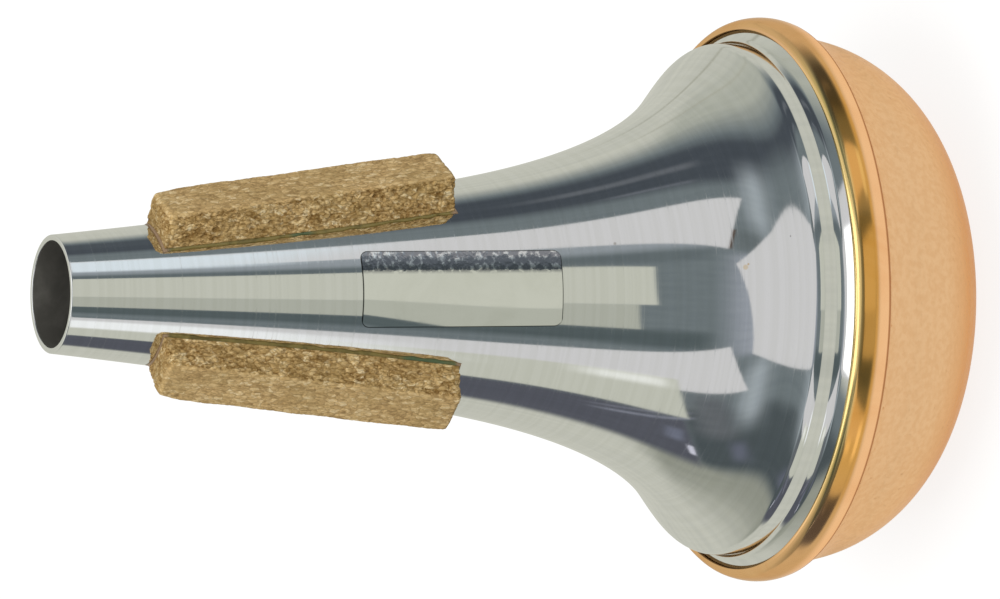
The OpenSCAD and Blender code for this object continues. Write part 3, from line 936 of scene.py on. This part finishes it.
PAPERS = [
    (WHITE, -68, -46.3, -27, 38.6, 0.5, 0.5, 0, 0.21, -0.168),
    (tone(80, 62, 48), 30, 43, 41, 42.9, 0.6, 0.5, 0, 0, 0.0625),
    (tone(150, 157, 163), 31, 41, -16, 36, 3.0, 4.0),
    (WHITE, 38.6, 59, -20, 41.5, 0.5, 0.5, -0.205, 0.12, 0.0625),
    (tone(200, 201, 189), -87, -60.5, -16, 22.5, 0.8, 0.8),
    (tone(240, 241, 235), -67, -61, 3, 19, 2.5, 4.0),
    (tone(250, 252, 253), -69, -54, -16, -7.5, 2.5, 1.5),
    (tone(226, 236, 243), 37, 57, -16, -8, 2.5, 1.0),
    (tone(212, 212, 226), -111.0, -105.5, 18.6, 20.8, 0.8, 0.6),
    (tone(176, 176, 162), 126, 127, -2, 30, 0.6, 6.0, 0.12, 0.12, 0),
    (tone(172, 172, 158), 142, 143.2, -12, 20, 0.6, 6.0, 0.1, 0.1, 0),
    (tone(180, 182, 171), -27, -9, -16, 15.5, 0.5, 0.5),
    (tone(201, 202, 190), -9, 22, -16, 19.5, 0.5, 0.5, 0, -0.2, -0.05),
]
# Each side of a panel has the way it faces and how far that way it lies, for a ceiling 1 high.
PANELS = [
    ([(-24, 0.662), (79.8, 0.462), (-110, 0.284)], WHITE),
    ([(62, 0.52), (0, 0.34), (180, -0.1), (-110, 0.284)], WHITE),
    ([(0, 0.21), (90, 0.29), (-90, 0.3), (180, 0.7)], LAMP),
]
print("studio:", len(SCREENS + PAPERS), "cards,", len(PANELS), "panels")

# %% Paint the studio on the world
world = bpy.data.worlds.new("studio")
world.use_nodes = True
scene.world = world
tree = world.node_tree
tree.nodes.clear()
axes = node(tree, "SeparateXYZ", {0: node(tree, "TexCoord").outputs["Generated"]}).outputs
azimuth = sums(tree, "DEGREES", sums(tree, "ARCTAN2", axes[0], times(tree, axes[1], -1.0)))
elevation = sums(tree, "DEGREES", sums(tree, "ARCSINE", axes[2]))
studio = node(tree, "RGB")
studio.outputs[0].default_value = PALE
studio = studio.outputs[0]


def hang(studio, cards):
    """Paints the cards over the studio one after another."""
    for paint, *sizes in cards:
        inputs = {"Azimuth": azimuth, "Elevation": elevation, **dict(zip(CARD_SIZES, sizes))}
        studio = mix(tree, use_group(tree, card, inputs)["Mask"], studio, paint)
    return studio


studio = hang(studio, SCREENS)
threads = {0: times(tree, azimuth, 0.35), 1: times(tree, elevation, 0.07)}
weave = noise(tree, node(tree, "CombineXYZ", threads).outputs[0], 1.0, 4.0)
weave = between(tree, weave, 0.3, 0.7, 0.35, 0.0)
studio = mix(tree, weave, studio, tone(222, 224, 228), "MULTIPLY")
studio = hang(studio, PAPERS)

# %% Ceiling, back and floor of the studio
PANEL_SOFT = 0.008

level = sums(tree, "SQRT", sums(tree, "SUBTRACT", 1.0, times(tree, axes[2], axes[2])))
away = sums(tree, "DIVIDE", level, sums(tree, "MAXIMUM", axes[2], 0.05))
for sides, paint in PANELS:
    mask = between(tree, elevation, 20, 30)
    for way, reach in sides:
        aside = sums(tree, "COSINE", sums(tree, "RADIANS", sums(tree, "SUBTRACT", azimuth, way)))
        aside = times(tree, aside, away)
        within = between(tree, aside, reach - PANEL_SOFT, reach + PANEL_SOFT, 1.0, 0.0)
        mask = times(tree, mask, within)
    studio = mix(tree, mask, studio, paint)
behind = times(tree, between(tree, sums(tree, "ABSOLUTE", azimuth), 156, 168),
              between(tree, elevation, 28, 40))
studio = mix(tree, behind, studio, (1, 1, 1, 1))
studio = mix(tree, between(tree, elevation, -34, -22, 1.0, 0.0), studio, tone(238, 236, 232))

path = node(tree, "LightPath").outputs
shown = mix(tree, path["Is Glossy Ray"], tone(204, 204, 202), studio)
shown = mix(tree, path["Is Camera Ray"], shown, (1, 1, 1, 1))
background = node(tree, "Background", {"Color": shown, "Strength": 1.0})
tree.links.new(background.outputs[0], node(tree, "OutputWorld").inputs["Surface"])
print("world:", len(tree.nodes), "nodes")

# %% [markdown]
# Cork and glue are lit by lamps and the soft light of the world. The big lamp overhead gives the
# mute's shadow on the floor. The floor is white paper: for the camera it glows a little, so that it
# reads as white, and what light it loses in the shadow still shows. Lamps and floor are left out of
# the reflections, which belong to the painted studio.

# %% Lamps
def soft_lamp(name, place, aim, size, watts):
    """A square area lamp at a place, turned so that its beam meets the aim."""
    data = bpy.data.lights.new(name, "AREA")
    data.size, data.energy = size, watts
    lamp = bpy.data.objects.new(name, data)
    scene.collection.objects.link(lamp)
    back = np.array(place) - np.array(aim)
    back = back / np.linalg.norm(back)
    side = np.cross([0.0, 1.0, 0.0], back)
    side /= np.linalg.norm(side)
    axes = np.stack([side, np.cross(back, side), back], axis=1)
    lamp.matrix_world = Matrix.Translation(place) @ Matrix(axes.tolist()).to_4x4()
    lamp.visible_glossy = False
    lamp.visible_camera = False
    return lamp


MIDDLE = (0.0, 0.0, 0.08)
lamps = [soft_lamp("overhead_lamp", (-0.25, -0.35, 1.5), MIDDLE, 1.0, 9.0),
         soft_lamp("front_lamp", (0.5, -1.5, 0.7), MIDDLE, 0.8, 6.0)]
print("lamps:", ", ".join(lamp.name for lamp in lamps))

# %% Floor
FLOOR_R, FLOOR_Z, FLOOR_SIDES = 6.0, -0.0001, 96

floor_mesh = bpy.data.meshes.new("floor")
a = np.linspace(0, 2 * np.pi, FLOOR_SIDES, endpoint=False)
disc = np.stack([FLOOR_R * np.cos(a), FLOOR_R * np.sin(a), 0 * a + FLOOR_Z], axis=1)
floor_mesh.from_pydata(disc.tolist(), [], [list(range(FLOOR_SIDES))])
floor = bpy.data.objects.new("floor", floor_mesh)
scene.collection.objects.link(floor)
floor.visible_glossy = False
paper = bpy.data.materials.new("white_paper")
paper.use_nodes = True
tree = paper.node_tree
tree.nodes.clear()
matt = node(tree, "BsdfDiffuse", {"Color": tone(138, 138, 138)}).outputs[0]
glow = times(tree, node(tree, "LightPath").outputs["Is Camera Ray"], 0.82)
glow = node(tree, "Emission", {"Color": (1, 1, 1, 1), "Strength": glow}).outputs[0]
both = node(tree, "AddShader", {0: matt, 1: glow}).outputs[0]
tree.links.new(both, node(tree, "OutputMaterial").inputs["Surface"])
floor_mesh.materials.append(paper)

# %% Finish
bpy.context.view_layer.update()
